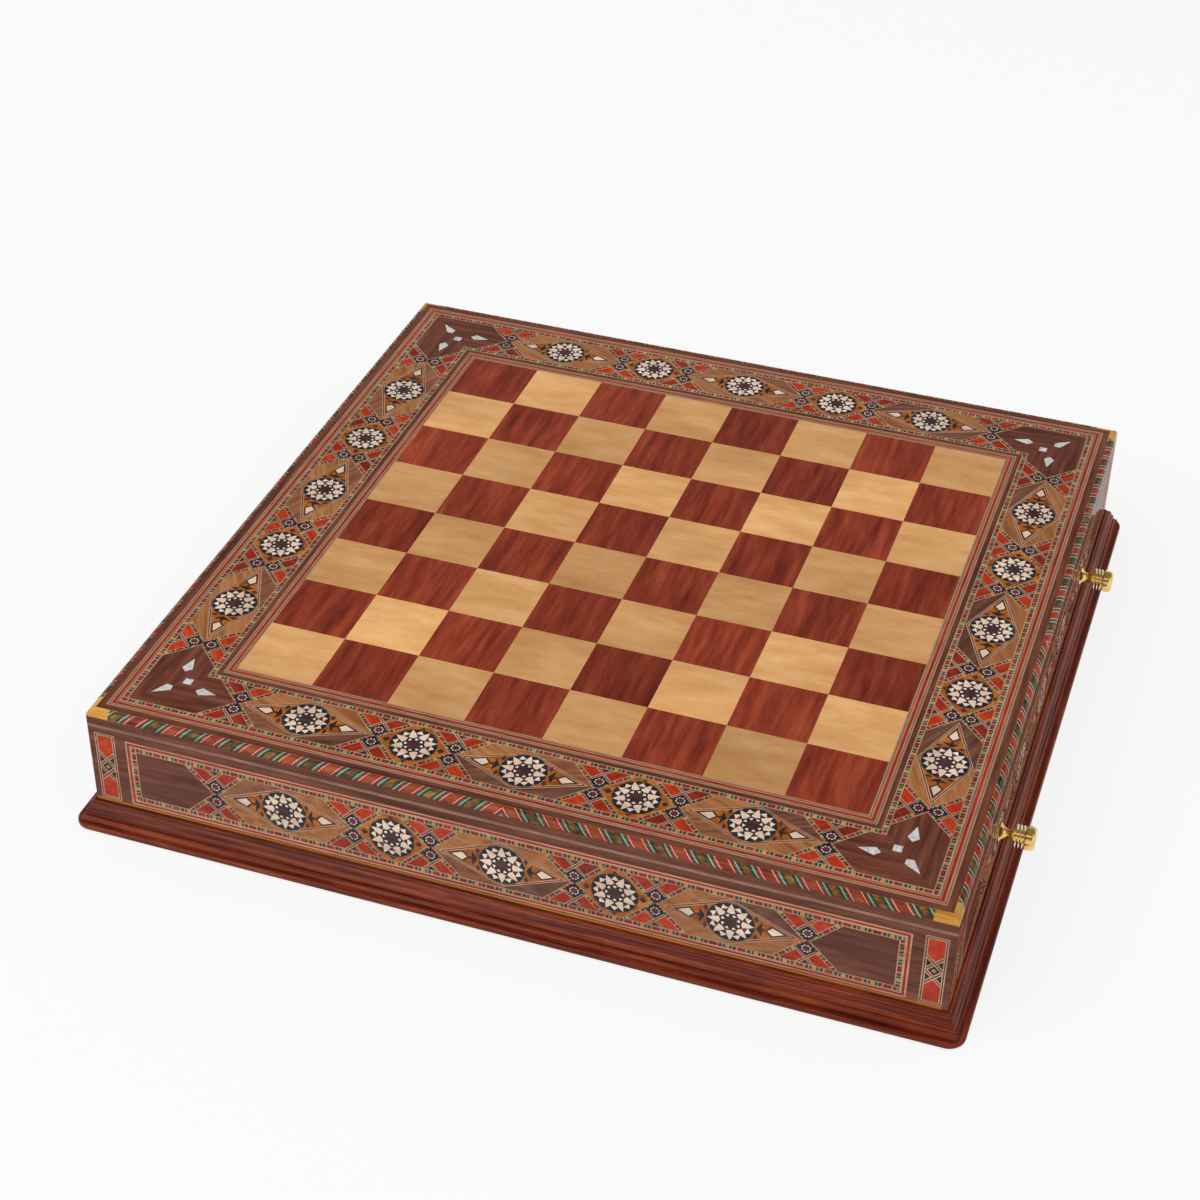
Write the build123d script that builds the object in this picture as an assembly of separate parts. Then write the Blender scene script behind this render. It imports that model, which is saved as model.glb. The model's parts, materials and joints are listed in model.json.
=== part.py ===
from build123d import *
import os

# Chess box with a marquetry playing board on top, a stepped base moulding and one wide drawer.
# Millimetres, +Z up. The origin is the centre of the underside. The drawer opens towards +X.

# Overall sizes
square = 37.0
squares_per_side = 8
field_half = square * squares_per_side / 2
body_half = 198.5
moulding_out = 9.5
body_top = 65.0
face_bottom = 13.0

# Case boards
baize = 1.0
baize_inset = 1.0
bottom_board = 5.0
wall = 13.5
top_board_bottom = 55.0
stile_facing = 2.5
stile_width = 13.9
wall_foot = baize + bottom_board
wall_in = body_half - wall
stile_in = body_half - stile_width

# Veneer rings of the playing board, as half widths from the centre outwards
veneer = 0.6
inner_light_a = (field_half, 149.9)
inner_red = (149.9, 151.2)
inner_light_b = (151.2, 153.0)
inner_walnut = (153.0, 155.4)
inner_chain = (155.4, 158.2)
band = (158.2, 184.4)
outer_chain = (184.4, 187.2)
outer_light_a = (187.2, 188.5)
outer_red = (188.5, 189.8)
outer_light_b = (189.8, 191.7)
outer_walnut = (191.7, 195.0)
band_middle = (band[0] + band[1]) / 2
band_half = (band[1] - band[0]) / 2
end_crossing = 3.69 * square

# Mother-of-pearl pieces, from the middle of a corner block, outwards along both sides
pearl_square = 3.9
pearl_square_at = -6.7
pearl_long = [(-1.9, -22.9), (-4.5, -15.4), (-1.9, -12.8), (0.7, -15.4)]
pearl_corner = [(5.9, 5.9), (-1.9, 1.5), (-1.7, -1.7), (1.5, -1.9)]

# Edge of the board
edge_width = 3.5
edge_height = 3.4
edge_round = 3.2
edge_corner = 14.5
edge_line = (56.0, 57.6)
edge_line_depth = 0.8

# Inlay panels of the four sides
inlay = 0.8
panel_half = 180.3
panel_low = 15.0
panel_high = 51.8
end_panel_at = 190.6
end_panel_width = 10.0
end_panel_low = 14.9
end_panel_high = 53.2
foot_line = (13.2, 14.4)

# Base moulding
moulding_foot = 0.5
nose_top = 3.6
nose_corner_radius = 8.0
bottom_screw_head = 6.4
bottom_screw_shank = 3.2
bottom_screw_length = 18.0
bottom_screw_inset = 7.0
bottom_screw_places = (-150.0, -50.0, 50.0, 150.0)

# Drawer
front_thick = 12.0
front_gap = 0.6
drawer_foot = 13.6
side_thick = 8.0
side_top = 50.0
back_thick = 8.0
drawer_back_at = -181.0
drawer_bottom_low = 16.6
drawer_bottom_thick = 4.0
groove = 3.0
felt = 1.0
divider = 4.0
divider_top = 48.0
bays_across = 6
bays_deep = 4
runner_width = 10.0
runner_top = 13.4
runner_inset = 1.0
stop_length = 3.8
stop_width = 24.0
stop_top = 40.0
stop_at = 120.0

# Knobs
knob_at = 2.79 * square
knob_height = (panel_low + panel_high) / 2
knob_rim = 6.0
knob_rim_thick = 0.9
knob_flare = 4.6
knob_waist = 2.2
knob_waist_at = 5.0
knob_neck = 3.3
knob_neck_at = 7.4
knob_rib = 5.3
knob_rib_thick = 0.75
knob_rib_pitch = 1.55
knob_ribs = 3
knob_head = 5.5
knob_head_at = 12.0
knob_head_length = 4.8
knob_head_round = 1.9
knob_head_bevel = 0.6
knob_screw = 1.9
knob_screw_head = 3.6
knob_screw_head_thick = 2.0
knob_screw_depth = 5.0

front_face = body_half
front_back = body_half - front_thick
drawer_half = stile_in - front_gap
side_in = drawer_half - side_thick
front_top = top_board_bottom - front_gap
drawer_floor = drawer_bottom_low + drawer_bottom_thick
felt_top = drawer_floor + felt
drawer_back_in = drawer_back_at + back_thick
veneer_low = body_top - veneer
edge_inner = body_half - edge_width
edge_foot = body_top - edge_height


def block(x0, x1, y0, y1, z0, z1):
    """A box between two corners."""
    middle = Pos((x0 + x1) / 2, (y0 + y1) / 2, (z0 + z1) / 2)
    return middle * Box(x1 - x0, y1 - y0, z1 - z0)


def slab(points, z0, z1):
    """A flat piece with the outline of points."""
    return Pos(0, 0, z0) * extrude(make_face(Polyline(*points, close=True)), amount=z1 - z0)


def turned(piece, quarter):
    """A piece turned by quarter turns about the box's middle."""
    return Rot(0, 0, 90 * quarter) * piece


def around(piece):
    """One copy of a piece on each of the four sides."""
    return [turned(piece, quarter) for quarter in range(4)]


def mitred_strips(ring, z0, z1):
    """Four mitred strips that make a square frame."""
    inner, outer = ring
    outline = [(-inner, -inner), (inner, -inner), (outer, -outer), (-outer, -outer)]
    return around(slab(outline, z0, z1))


def save(name, pieces):
    """Writes one node."""
    solids = [solid for piece in pieces for solid in piece.solids()]
    export_step(Compound(children=solids) if len(solids) > 1 else solids[0], f"parts/{name}.step")


def field_squares(light):
    """The squares of one colour. The square at the front left is light."""
    cells = []
    for i in range(squares_per_side):
        for j in range(squares_per_side):
            if ((i + j) % 2 == 0) == light:
                x = i * square - field_half
                y = j * square - field_half
                cells.append(block(x, x + square, y, y + square, veneer_low, body_top))
    return cells


def band_strip():
    """The marquetry band of the front side, notched where the corner blocks meet it."""
    near, far = band
    shoulder = end_crossing + band_half
    outline = [
        (-shoulder, -near),
        (shoulder, -near),
        (end_crossing, -band_middle),
        (shoulder, -far),
        (-shoulder, -far),
        (-end_crossing, -band_middle),
    ]
    return slab(outline, veneer_low, body_top)


def pearl_pieces():
    """The pearl pieces of the front right corner."""
    mirrored = [(b, a) for a, b in pearl_long]
    half = pearl_square / 2
    small = [
        (pearl_square_at - half, pearl_square_at - half),
        (pearl_square_at + half, pearl_square_at - half),
        (pearl_square_at + half, pearl_square_at + half),
        (pearl_square_at - half, pearl_square_at + half),
    ]
    pieces = []
    for outline in (pearl_long, mirrored, pearl_corner, small):
        placed = [(band_middle + a, -band_middle - b) for a, b in outline]
        pieces.append(slab(placed, veneer_low, body_top))
    return pieces


def corner_veneer():
    """The walnut block of the front right corner, with openings for the pearl."""
    near, far = band
    shoulder = end_crossing + band_half
    outline = [
        (shoulder, -near),
        (end_crossing, -band_middle),
        (shoulder, -far),
        (far, -far),
        (far, -shoulder),
        (band_middle, -end_crossing),
        (near, -shoulder),
        (near, -near),
    ]
    piece = slab(outline, veneer_low, body_top)
    for pearl in pearl_pieces():
        piece -= pearl
    return piece


def edge_profile():
    """The section of the board's edge strip, rounded on its outer top corner."""
    flat = edge_width - edge_round
    side = edge_height - edge_round
    diagonal = edge_round / 2**0.5
    middle = (flat + diagonal, side + diagonal)
    outline = Line((0, 0), (edge_width, 0)) + Line((edge_width, 0), (edge_width, side))
    outline += ThreePointArc((edge_width, side), middle, (flat, edge_height))
    outline += Line((flat, edge_height), (0, edge_height)) + Line((0, edge_height), (0, 0))
    return make_face(outline)


def side_plane(offset, reach):
    """A plane at the right end of the front side, with its own x pointing out of that side."""
    return Plane(origin=(reach, -offset, 0), x_dir=(0, -1, 0), z_dir=(-1, 0, 0))


def edge_strips():
    """The striped halves and the plain corner pieces of the front edge."""
    plane = side_plane(edge_inner, body_half) * Pos(0, edge_foot)
    strip = extrude(plane * edge_profile(), amount=2 * body_half)
    mitre = [(-body_half, -body_half), (0, 0), (body_half, -body_half)]
    strip &= slab(mitre, edge_foot, body_top)
    reach = body_half - edge_corner
    depth = (-body_half, -edge_inner, edge_foot, body_top)
    halves = [strip & block(-reach, 0, *depth), strip & block(0, reach, *depth)]
    corners = [strip & block(-body_half, -reach, *depth), strip & block(reach, body_half, *depth)]
    return halves, corners


def top_core():
    """The top board under the veneers, with a groove for the line on its edge."""
    groove_in = body_half - edge_line_depth
    board = block(-body_half, body_half, -body_half, body_half, top_board_bottom, edge_foot)
    board += block(-edge_inner, edge_inner, -edge_inner, edge_inner, edge_foot, veneer_low)
    for strip in mitred_strips((groove_in, body_half), *edge_line):
        board -= strip
    return board


def main_panel():
    """The long inlay panel of the front side."""
    return block(-panel_half, panel_half, -body_half, inlay - body_half, panel_low, panel_high)


def end_panels():
    """The two short inlay panels of the front side."""
    half = end_panel_width / 2
    depth = (-body_half, inlay - body_half, end_panel_low, end_panel_high)
    return [block(x - half, x + half, *depth) for x in (-end_panel_at, end_panel_at)]


def foot_lines():
    """The thin line above the moulding on the front, back and left sides."""
    strips = mitred_strips((body_half - inlay, body_half), *foot_line)
    keep = block(-body_half, body_half - stile_facing, -body_half, body_half, *foot_line)
    return [strip & keep for strip in strips[:1] + strips[2:]]


def bottom_screws():
    """Countersunk screws that hold the bottom board to the walls."""
    head = bottom_screw_head / 2
    shank = bottom_screw_shank / 2
    cone = head - shank
    screw = Pos(0, 0, cone / 2) * Cone(head, shank, cone)
    screw += Pos(0, 0, (cone + bottom_screw_length) / 2) * Cylinder(shank, bottom_screw_length - cone)
    screws = []
    for along in bottom_screw_places:
        placed = Pos(along, bottom_screw_inset - body_half, baize) * screw
        screws += around(placed)
    return [screw for screw in screws if screw.center().X < wall_in]


def walls(screws):
    """The front, back and left walls with their pockets and screw holes."""
    front = block(-body_half, body_half - stile_facing, -body_half, -wall_in, wall_foot, top_board_bottom)
    left = block(-body_half, -wall_in, -wall_in, wall_in, wall_foot, top_board_bottom)
    back = Pos(0, 2 * body_half - wall, 0) * front
    pockets = around(main_panel()) + foot_lines() + screws
    for panel in end_panels():
        pockets += around(panel)
    cut = []
    for board in (front, back, left):
        for pocket in pockets:
            board -= pocket
        cut.append(board)
    return cut


def stiles():
    """The upright facings at the two ends of the drawer."""
    near = block(body_half - stile_facing, body_half, -body_half, -stile_in, wall_foot, top_board_bottom)
    far = Pos(0, body_half + stile_in, 0) * near
    for panel in end_panels():
        near -= turned(panel, 1)
        far -= turned(panel, 1)
    return near, far


def moulding_profile():
    """The section of the base moulding above its nose: two ovolos, a quirk and a cove."""
    outline = Line((0, nose_top), (0, face_bottom)) + Line((0, face_bottom), (1.0, face_bottom))
    outline += ThreePointArc((1.0, face_bottom), (1.25, 12.1), (2.1, 11.7))
    outline += ThreePointArc((2.1, 11.7), (3.2, 10.6), (3.7, 9.2))
    outline += Line((3.7, 9.2), (3.4, 8.9)) + Line((3.4, 8.9), (3.7, 8.7))
    outline += ThreePointArc((3.7, 8.7), (4.7, 7.6), (4.8, 6.2))
    outline += Line((4.8, 6.2), (4.4, 5.9)) + Line((4.4, 5.9), (5.4, 5.6))
    outline += ThreePointArc((5.4, 5.6), (5.9, 4.5), (7.0, 4.0))
    outline += Line((7.0, 4.0), (7.0, nose_top)) + Line((7.0, nose_top), (0, nose_top))
    return make_face(outline)


def nose_profile(start):
    """The section of the rounded nose at the foot of the moulding, from start outwards."""
    tip = moulding_out
    outline = Line((start, moulding_foot), (start, nose_top)) + Line((start, nose_top), (8.3, nose_top))
    outline += ThreePointArc((8.3, nose_top), (9.15, 3.2), (tip, 2.4))
    outline += Line((tip, 2.4), (tip, 1.7))
    outline += ThreePointArc((tip, 1.7), (9.15, 0.85), (8.3, moulding_foot))
    outline += Line((8.3, moulding_foot), (start, moulding_foot))
    return make_face(outline)


def base_moulding():
    """The front base moulding: mitred above, with a nose rounded in plan at the corners."""
    reach = body_half + moulding_out
    turn = reach - nose_corner_radius
    plane = side_plane(body_half, reach)
    upper = extrude(plane * moulding_profile(), amount=2 * reach)
    upper &= slab([(-reach, -reach), (0, 0), (reach, -reach)], 0, face_bottom)
    lower = extrude(side_plane(body_half, turn) * nose_profile(0), amount=2 * turn)
    lower &= slab([(-reach, -reach), (0, 0), (reach, -reach)], 0, face_bottom)
    section = side_plane(body_half, turn) * nose_profile(turn - body_half)
    bend = revolve(section, axis=Axis((turn, -turn, 0), (0, 0, 1)), revolution_arc=45)
    return upper + lower + bend + mirror(bend, about=Plane.YZ)


def knob():
    """A turned brass knob with its axis on +X, starting at the drawer's face."""
    outline = Line((0, 0), (0, knob_rim)) + Line((0, knob_rim), (knob_rim_thick, knob_rim))
    outline += Line((knob_rim_thick, knob_rim), (knob_rim_thick, knob_flare))
    waist = (knob_waist_at, knob_waist)
    bend = (2.3, 2.75)
    outline += ThreePointArc((knob_rim_thick, knob_flare), bend, waist)
    outline += ThreePointArc(waist, (6.4, 2.6), (knob_neck_at, knob_neck))
    outline += Line((knob_neck_at, knob_neck), (knob_head_at, knob_neck))
    bevel = (knob_head_at + knob_head_bevel, knob_head)
    outline += Line((knob_head_at, knob_neck), (knob_head_at, knob_head - knob_head_bevel))
    outline += Line((knob_head_at, knob_head - knob_head_bevel), bevel)
    end = knob_head_at + knob_head_length
    shoulder = end - knob_head_round
    diagonal = knob_head_round / 2**0.5
    corner = (shoulder + diagonal, knob_head - knob_head_round + diagonal)
    outline += Line(bevel, (shoulder, knob_head))
    outline += ThreePointArc((shoulder, knob_head), corner, (end, knob_head - knob_head_round))
    outline += Line((end, knob_head - knob_head_round), (end, 0)) + Line((end, 0), (0, 0))
    body = revolve(make_face(outline), axis=Axis.X)
    for rib in range(knob_ribs):
        middle = knob_neck_at + knob_rib_thick / 2 + rib * knob_rib_pitch
        body += Pos(middle, 0, 0) * Rot(0, 90, 0) * Cylinder(knob_rib, knob_rib_thick)
    body -= Pos(knob_screw_depth / 2, 0, 0) * Rot(0, 90, 0) * Cylinder(knob_screw, knob_screw_depth)
    return Pos(front_face, 0, knob_height) * body


def knob_screw_piece():
    """The screw that holds a knob from inside the drawer."""
    length = front_thick + knob_screw_depth
    shank = Pos(front_back + length / 2, 0, knob_height) * Rot(0, 90, 0) * Cylinder(knob_screw, length)
    head_middle = front_back - knob_screw_head_thick / 2
    head = Rot(0, 90, 0) * Cylinder(knob_screw_head, knob_screw_head_thick)
    return shank + Pos(head_middle, 0, knob_height) * head


def drawer_front(screws):
    """The drawer's front board, with its inlay pocket, bottom groove and knob holes."""
    board = block(front_back, front_face, -drawer_half, drawer_half, drawer_foot, front_top)
    board -= turned(main_panel(), 1)
    board -= drawer_bottom()
    for screw in screws:
        board -= screw
    return board


def drawer_bottom():
    """The plywood bottom, held in grooves in the sides and the front."""
    reach = side_in + groove
    low, high = drawer_bottom_low, drawer_floor
    return block(drawer_back_at, front_back + groove, -reach, reach, low, high)


def drawer_side():
    """The side board at the front of the box, grooved for the bottom."""
    board = block(drawer_back_at, front_back, -drawer_half, -side_in, drawer_foot, side_top)
    return board - drawer_bottom()


def bay_walls():
    """Middle lines of the dividers along the drawer and across it."""
    across = (2 * side_in - (bays_across - 1) * divider) / bays_across
    deep = (front_back - drawer_back_in - (bays_deep - 1) * divider) / bays_deep
    lines_y = [k * (across + divider) - divider / 2 - side_in for k in range(1, bays_across)]
    lines_x = [drawer_back_in + k * (deep + divider) - divider / 2 for k in range(1, bays_deep)]
    return lines_x, lines_y


def dividers():
    """Long and cross dividers, halved into each other where they cross."""
    lines_x, lines_y = bay_walls()
    half = divider / 2
    waist = (felt_top + divider_top) / 2
    long_ones = []
    for y in lines_y:
        piece = block(drawer_back_in, front_back, y - half, y + half, felt_top, divider_top)
        for x in lines_x:
            piece -= block(x - half, x + half, y - half, y + half, waist, divider_top)
        long_ones.append(piece)
    cross_ones = []
    for x in lines_x:
        piece = block(x - half, x + half, -side_in, side_in, felt_top, divider_top)
        for y in lines_y:
            piece -= block(x - half, x + half, y - half, y + half, felt_top, waist)
        cross_ones.append(piece)
    return long_ones, cross_ones


def runner():
    """The strip under the drawer's side at the front of the box."""
    outer = wall_in - runner_inset
    return block(-wall_in, wall_in, -outer, runner_width - outer, wall_foot, runner_top)


def stops():
    """Blocks on the left wall that the drawer meets when it is shut."""
    stop = block(-wall_in, stop_length - wall_in, stop_at, stop_at + stop_width, wall_foot, stop_top)
    return [stop, mirror(stop, about=Plane.XZ)]


def case_nodes():
    """Everything that stays still."""
    screws = bottom_screws()
    front_wall, back_wall, left_wall = walls(screws)
    near_stile, far_stile = stiles()
    bottom = block(-body_half, body_half, -body_half, body_half, baize, wall_foot)
    for screw in screws:
        bottom -= screw
    reach = body_half - baize_inset
    nodes = {
        "base_baize": [block(-reach, reach, -reach, reach, 0, baize)],
        "bottom_board": [bottom],
        "bottom_screws": screws,
        "front_wall": [front_wall],
        "back_wall": [back_wall],
        "left_wall": [left_wall],
        "near_stile": [near_stile],
        "far_stile": [far_stile],
        "drawer_rail": [block(wall_in, body_half, -stile_in, stile_in, wall_foot, face_bottom)],
        "near_runner": [runner()],
        "far_runner": [turned(runner(), 2)],
        "drawer_stops": stops(),
        "front_inlay_panel": [main_panel()],
        "back_inlay_panel": [turned(main_panel(), 2)],
        "left_inlay_panel": [turned(main_panel(), 3)],
        "end_inlay_panels": [piece for panel in end_panels() for piece in around(panel)],
        "foot_lines": foot_lines(),
    }
    for quarter, side in enumerate(("front", "right", "back", "left")):
        nodes[side + "_moulding"] = [turned(base_moulding(), quarter)]
    return nodes


def board_nodes():
    """The top board with its veneers and edging."""
    halves, corners = edge_strips()
    layer = (veneer_low, body_top)
    corner = corner_veneer()
    nodes = {
        "top_board": [top_core()],
        "light_squares": field_squares(True),
        "dark_squares": field_squares(False),
        "inner_light_lines": mitred_strips(inner_light_a, *layer) + mitred_strips(inner_light_b, *layer),
        "inner_red_line": mitred_strips(inner_red, *layer),
        "inner_walnut_border": mitred_strips(inner_walnut, *layer),
        "inner_chain_border": mitred_strips(inner_chain, *layer),
        "corner_veneers": around(corner),
        "pearl_inlays": [piece for pearl in pearl_pieces() for piece in around(pearl)],
        "outer_chain_border": mitred_strips(outer_chain, *layer),
        "outer_light_lines": mitred_strips(outer_light_a, *layer) + mitred_strips(outer_light_b, *layer),
        "outer_red_line": mitred_strips(outer_red, *layer),
        "outer_walnut_border": mitred_strips(outer_walnut, *layer),
        "striped_edging": [piece for half in halves for piece in around(half)],
        "edge_corner_pieces": [piece for end in corners for piece in around(end)],
        "edge_line": mitred_strips((body_half - edge_line_depth, body_half), *edge_line),
    }
    for quarter, side in enumerate(("front", "right", "back", "left")):
        nodes[side + "_marquetry_band"] = [turned(band_strip(), quarter)]
    return nodes


def drawer_nodes():
    """Everything that slides out with the drawer."""
    screws = [Pos(0, y, 0) * knob_screw_piece() for y in (-knob_at, knob_at)]
    panel = turned(main_panel(), 1)
    for screw in screws:
        panel -= screw
    long_ones, cross_ones = dividers()
    nodes = {
        "drawer_front": [drawer_front(screws)],
        "drawer_inlay_panel": [panel],
        "drawer_near_side": [drawer_side()],
        "drawer_far_side": [mirror(drawer_side(), about=Plane.XZ)],
        "drawer_back": [block(drawer_back_at, drawer_back_in, -side_in, side_in, drawer_floor, side_top)],
        "drawer_bottom": [drawer_bottom()],
        "drawer_felt": [block(drawer_back_in, front_back, -side_in, side_in, drawer_floor, felt_top)],
        "near_knob": [Pos(0, -knob_at, 0) * knob()],
        "far_knob": [Pos(0, knob_at, 0) * knob()],
        "knob_screws": screws,
    }
    for number, piece in enumerate(long_ones, 1):
        nodes[f"long_divider_{number}"] = [piece]
    for number, piece in enumerate(cross_ones, 1):
        nodes[f"cross_divider_{number}"] = [piece]
    return nodes


os.makedirs("parts", exist_ok=True)
for group in (case_nodes(), board_nodes(), drawer_nodes()):
    for name, pieces in group.items():
        save(name, pieces)
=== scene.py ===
import json
import math
import random

import bpy
from mathutils import Matrix, Vector


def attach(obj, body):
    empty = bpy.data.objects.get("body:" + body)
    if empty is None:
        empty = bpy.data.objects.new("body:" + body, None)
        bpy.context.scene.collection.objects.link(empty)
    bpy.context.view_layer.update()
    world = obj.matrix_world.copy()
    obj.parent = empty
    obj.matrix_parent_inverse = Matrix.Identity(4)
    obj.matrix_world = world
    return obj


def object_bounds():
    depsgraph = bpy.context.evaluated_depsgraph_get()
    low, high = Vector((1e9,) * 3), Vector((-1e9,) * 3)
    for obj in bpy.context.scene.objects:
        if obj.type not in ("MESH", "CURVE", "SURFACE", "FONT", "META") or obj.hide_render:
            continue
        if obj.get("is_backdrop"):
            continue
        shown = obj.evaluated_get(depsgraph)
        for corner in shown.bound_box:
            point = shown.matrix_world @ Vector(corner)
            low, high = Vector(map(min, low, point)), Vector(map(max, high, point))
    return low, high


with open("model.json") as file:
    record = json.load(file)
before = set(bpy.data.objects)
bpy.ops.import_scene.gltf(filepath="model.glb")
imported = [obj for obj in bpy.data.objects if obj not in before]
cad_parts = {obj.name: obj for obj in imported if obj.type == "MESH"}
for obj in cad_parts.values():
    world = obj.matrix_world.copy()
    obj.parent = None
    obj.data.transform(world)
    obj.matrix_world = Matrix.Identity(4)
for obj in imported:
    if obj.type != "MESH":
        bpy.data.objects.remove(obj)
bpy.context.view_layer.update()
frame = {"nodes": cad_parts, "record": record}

random.seed(64)

# Sizes in millimetres, as they are on the box

MM = 0.001
SQUARE = 37.0                      # side of a square of the board
BOARD_TOP = 65.0                   # height of the top of the board
BODY = 198.5                       # half the width of the box above its moulding
BAND_MIDDLE = 171.3                # from the board's middle to the middle line of a marquetry band
BAND_HALF = 13.1                   # half the width of a band, and of a panel's marquetry
PANEL_MIDDLE = 33.4                # height of the middle line of the long panel in each side
PANEL_END = 175.0                  # half the length of its marquetry
END_PANEL_AT = 190.6               # from a side's middle to the middle of a short end panel
END_PANEL_MIDDLE = 34.05           # height of its middle
END_PANEL_HALF = (5.0, 19.15)      # half its width and half its height
EDGE_AXIS = (-195.3, 61.8)         # the line round which the board's front edge is rounded
EDGE_ROUND = 3.2                   # radius of that edge
EDGE_CORNER = 187.6                # where the stripes end and the golden corner pieces show
LIFT = 0.02                        # each layer of veneer is this much higher than the one below
SUNK = 0.1                         # how far each veneer reaches down into its ground
STRAP = 1.15                       # half the width of a strap in a crossing
ROSE = 5.0                         # room for a small rose beside a strap
LINE = 1.5                         # width of the double line round the roses
REACH = 22.0                       # half the length of a strap before it is cut at the band's edge
CHAIN = 2.8                        # width of a chain border
INNER_CHAIN = 155.4                # from the board's middle to the inner edge of the inner chain border
OUTER_CHAIN = 184.4                # and of the outer one
CROSSINGS = (0.9 * SQUARE, 1.89 * SQUARE, 3.69 * SQUARE)
LARGE_STAR = 2.79 * SQUARE
SMALL_STAR = 1.395 * SQUARE
LOZENGE = (29.8, 12.8)             # half the length and half the width of a large star's field
WALNUT_REACH = CROSSINGS[0] - STRAP * 2**0.5
GLOSS = 0.42                       # strength of the clear lacquer


def tone(code):
    """A colour code as the linear values that a shader takes."""
    parts = [int(code[k:k + 2], 16) / 255 for k in (1, 3, 5)]
    linear = [c / 12.92 if c <= 0.04045 else ((c + 0.055) / 1.055) ** 2.4 for c in parts]
    return (*linear, 1.0)


# Shader nodes

def put(tree, kind, settings=None, inputs=None):
    """A shader node with its settings and its inputs, which are values or sockets."""
    made = tree.nodes.new("ShaderNode" + kind)
    for name, value in (settings or {}).items():
        setattr(made, name, value)
    for name, value in (inputs or {}).items():
        socket = made.inputs[name]
        if isinstance(value, bpy.types.NodeSocket):
            tree.links.new(value, socket)
        else:
            socket.default_value = value
    return made


def maths(tree, how, a, b=0.0, c=0.0):
    return put(tree, "Math", {"operation": how}, {0: a, 1: b, 2: c}).outputs[0]


def vectors(tree, how, a, b=(0, 0, 0)):
    return put(tree, "VectorMath", {"operation": how}, {0: a, 1: b}).outputs[0]


def ramp(tree, value, stops, constant=False):
    made = put(tree, "ValToRGB", None, {0: value})
    band = made.color_ramp
    band.interpolation = "CONSTANT" if constant else "LINEAR"
    while len(band.elements) < len(stops):
        band.elements.new(0.5)
    for element, (place, colour) in zip(band.elements, stops):
        element.position = place
        element.color = colour
    return made.outputs[0]


def mixed(tree, share, a, b, how="MIX"):
    made = put(tree, "Mix", {"data_type": "RGBA", "blend_type": how}, {0: share, 6: a, 7: b})
    return made.outputs[2]


def group(name, takes, gives):
    tree = bpy.data.node_groups.new(name, "ShaderNodeTree")
    for socket, kind, value in takes:
        made = tree.interface.new_socket(name=socket, in_out="INPUT", socket_type="NodeSocket" + kind)
        if kind != "Vector":
            made.default_value = value
    for socket, kind in gives:
        tree.interface.new_socket(name=socket, in_out="OUTPUT", socket_type="NodeSocket" + kind)
    return tree, tree.nodes.new("NodeGroupInput"), tree.nodes.new("NodeGroupOutput")


def made_board_axes():
    """Turns a place on the box into (along the side, across it, height)."""
    tree, takes, gives = group("board_axes", [("Place", "Vector", None)], [("Along", "Vector")])
    split = put(tree, "SeparateXYZ", None, {0: takes.outputs[0]})
    x, y, z = split.outputs
    wide = maths(tree, "ABSOLUTE", x)
    deep = maths(tree, "ABSOLUTE", y)
    swap = maths(tree, "GREATER_THAN", wide, deep)
    turned = put(tree, "CombineXYZ", None, {0: y, 1: x, 2: z})
    pick = put(tree, "Mix", {"data_type": "VECTOR"}, {0: swap, 4: takes.outputs[0], 5: turned.outputs[0]})
    tree.links.new(pick.outputs[1], gives.inputs[0])
    return tree


def made_wood_grain():
    """Streaks, pores and broad figure of wood whose grain runs along X."""
    takes = [("Place", "Vector", None), ("Fine", "Float", 300.0), ("Stretch", "Float", 12.0)]
    tree, takes, gives = group("wood_grain", takes, [("Streaks", "Float"), ("Pores", "Float"), ("Figure", "Float")])
    place, fine, stretch = takes.outputs[:3]
    squeeze = put(tree, "CombineXYZ", None, {0: maths(tree, "DIVIDE", 1.0, stretch), 1: 1.0, 2: 1.0})
    long_way = vectors(tree, "MULTIPLY", place, squeeze.outputs[0])
    wander = put(tree, "TexNoise", None, {"Vector": place, "Scale": 22.0, "Detail": 2.0})
    bent = vectors(tree, "MULTIPLY", wander.outputs["Color"], (0.0, 0.004, 0.004))
    long_way = vectors(tree, "ADD", long_way, bent)
    finer = maths(tree, "MULTIPLY", fine, 6.0)
    broader = maths(tree, "MULTIPLY", fine, 0.16)
    streaks = put(tree, "TexNoise", None, {"Vector": long_way, "Scale": fine, "Detail": 6.0, "Roughness": 0.62})
    pores = put(tree, "TexNoise", None, {"Vector": long_way, "Scale": finer, "Detail": 1.0})
    open_pores = put(tree, "MapRange", None, {0: pores.outputs[0], 1: 0.56, 2: 0.7})
    figure = put(tree, "TexNoise", None, {"Vector": long_way, "Scale": broader, "Detail": 3.0})
    tree.links.new(streaks.outputs[0], gives.inputs[0])
    tree.links.new(open_pores.outputs[0], gives.inputs[1])
    tree.links.new(figure.outputs[0], gives.inputs[2])
    return tree


def made_cut_squares():
    """Moves the grain to another sheet of veneer in every square, and gives each its own tone."""
    tree, takes, gives = group("cut_squares", [("Place", "Vector", None)], [("Moved", "Vector"), ("Tone", "Float")])
    cell = vectors(tree, "SCALE", takes.outputs[0])
    cell.node.inputs["Scale"].default_value = 1 / (SQUARE * MM)
    cell = vectors(tree, "FLOOR", vectors(tree, "MULTIPLY", cell, (1, 1, 0)))
    chance = put(tree, "TexWhiteNoise", {"noise_dimensions": "3D"}, {"Vector": cell})
    moved = vectors(tree, "ADD", takes.outputs[0], chance.outputs["Color"])
    tree.links.new(moved, gives.inputs[0])
    tree.links.new(chance.outputs["Value"], gives.inputs[1])
    return tree


BOARD_AXES = made_board_axes()
WOOD_GRAIN = made_wood_grain()
CUT_SQUARES = made_cut_squares()


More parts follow.
